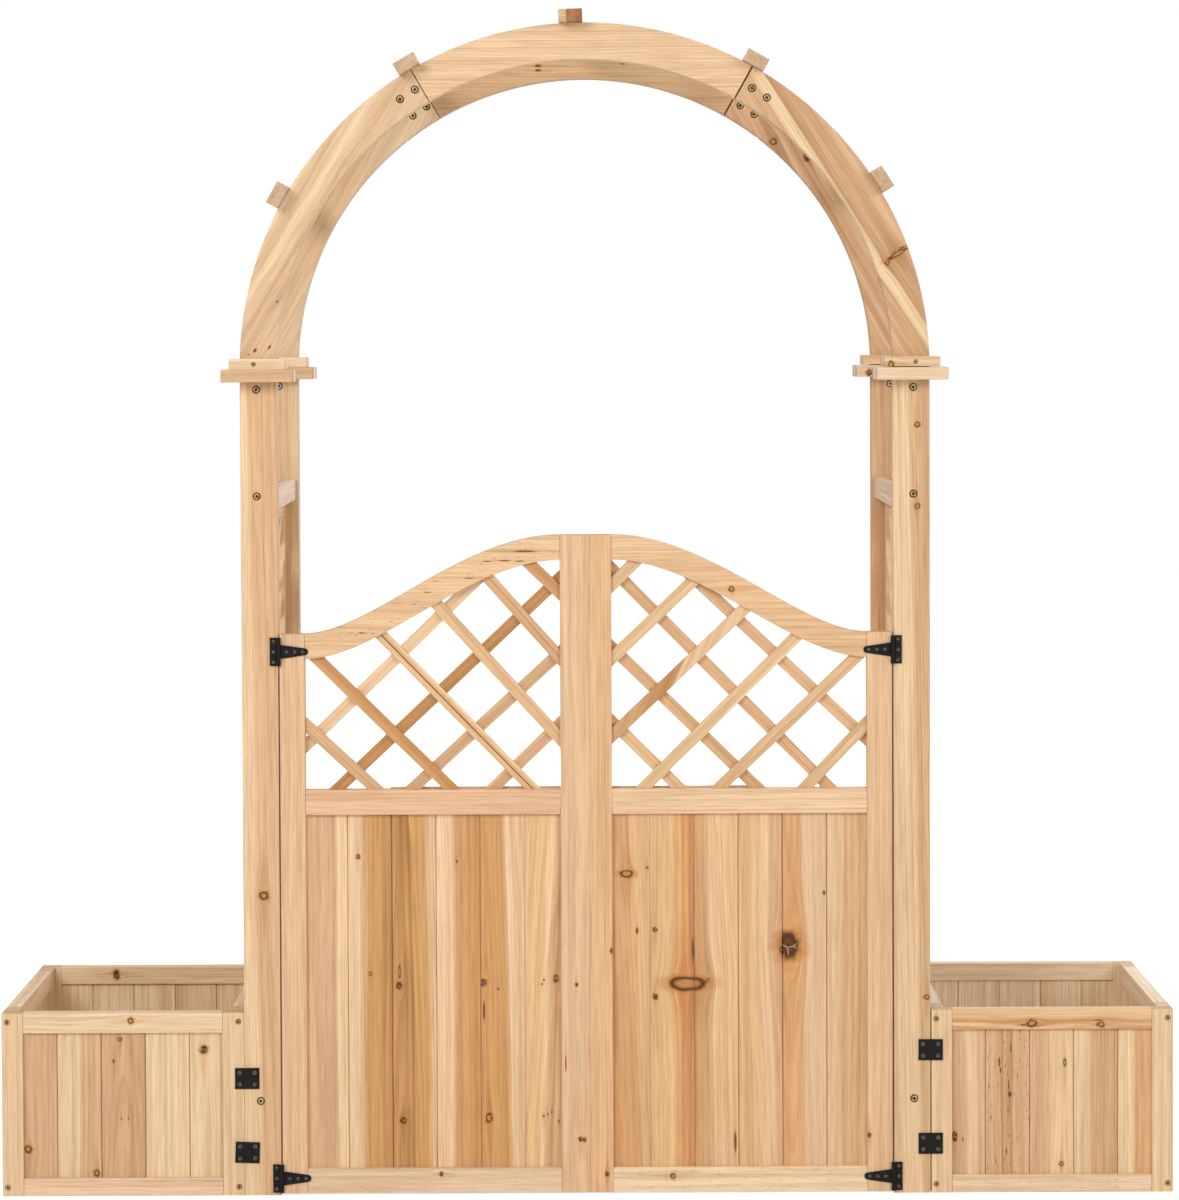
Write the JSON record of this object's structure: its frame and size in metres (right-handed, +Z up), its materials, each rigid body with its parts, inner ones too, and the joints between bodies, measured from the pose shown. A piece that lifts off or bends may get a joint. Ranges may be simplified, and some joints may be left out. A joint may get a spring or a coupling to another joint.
{
  "type": "garden arbor with gate and planters",
  "caption": "Round-topped wooden garden arbor with trellis sides, a double gate with lattice tops, and a planter box against each side.",
  "frame": {"origin": "on the ground, in the middle of the footprint", "axes": "+X to the right as seen from the front, +Y to the back, +Z up; the gate faces -Y"},
  "size_m": [2.0302, 0.548, 2.0479],
  "materials": {
    "post_wood": "planed softwood, unpainted",
    "arch_wood": "sawn and sanded softwood",
    "rafter_wood": "sawn softwood, slightly grey",
    "trim_wood": "planed softwood, unpainted",
    "rail_wood": "planed softwood, unpainted",
    "slat_wood": "planed softwood, unpainted",
    "board_wood": "planed softwood with knots",
    "black_steel": "satin black powder coat",
    "zinc_screw": "yellow zinc plate"
  },
  "bodies": {
    "arbor": {"post_front_left": "post_wood", "post_front_right": "post_wood", "post_back_left": "post_wood", "post_back_right": "post_wood", "arch_front_left": "arch_wood", "arch_front_crown": "arch_wood", "arch_front_right": "arch_wood", "arch_back_left": "arch_wood", "arch_back_crown": "arch_wood", "arch_back_right": "arch_wood", "rafter_1": "rafter_wood", "rafter_2": "rafter_wood", "rafter_3": "rafter_wood", "rafter_4": "rafter_wood", "rafter_5": "rafter_wood", "collar_front_left": "trim_wood", "collar_front_right": "trim_wood", "collar_back_left": "trim_wood", "collar_back_right": "trim_wood", "cross_rail_left": "rail_wood", "cross_rail_right": "rail_wood", "trellis_left": "slat_wood", "trellis_right": "slat_wood", "planter_left_front": "board_wood", "planter_left_back": "board_wood", "planter_left_inner_side": "board_wood", "planter_left_outer_side": "board_wood", "planter_left_floor": "board_wood", "planter_right_front": "board_wood", "planter_right_back": "board_wood", "planter_right_inner_side": "board_wood", "planter_right_outer_side": "board_wood", "planter_right_floor": "board_wood", "plate_left_upper": "black_steel", "plate_left_lower": "black_steel", "plate_right_upper": "black_steel", "plate_right_lower": "black_steel", "hinge_left_upper_leaf": "black_steel", "hinge_left_lower_leaf": "black_steel", "hinge_right_upper_leaf": "black_steel", "hinge_right_lower_leaf": "black_steel"},
    "gate_left": {"gate_left_hinge_stile": "rail_wood", "gate_left_meeting_stile": "rail_wood", "gate_left_bottom_rail": "rail_wood", "gate_left_middle_rail": "rail_wood", "gate_left_top_rail": "rail_wood", "gate_left_boards": "board_wood", "gate_left_lattice": "slat_wood", "hinge_left_upper_strap": "black_steel", "hinge_left_lower_strap": "black_steel"},
    "gate_right": {"gate_right_hinge_stile": "rail_wood", "gate_right_meeting_stile": "rail_wood", "gate_right_bottom_rail": "rail_wood", "gate_right_middle_rail": "rail_wood", "gate_right_top_rail": "rail_wood", "gate_right_boards": "board_wood", "gate_right_lattice": "slat_wood", "hinge_right_upper_strap": "black_steel", "hinge_right_lower_strap": "black_steel"}
  },
  "joints": [
    {"name": "gate_left_swing", "type": "hinge", "parent": "arbor", "child": "gate_left", "pos_m": [-0.52995, -0.2483, 0.5], "axis": [0, 0, -1], "range_deg": [-4, 170]},
    {"name": "gate_right_swing", "type": "hinge", "parent": "arbor", "child": "gate_right", "pos_m": [0.52995, -0.2483, 0.5], "axis": [0, 0, 1], "range_deg": [-4, 170]}
  ]
}
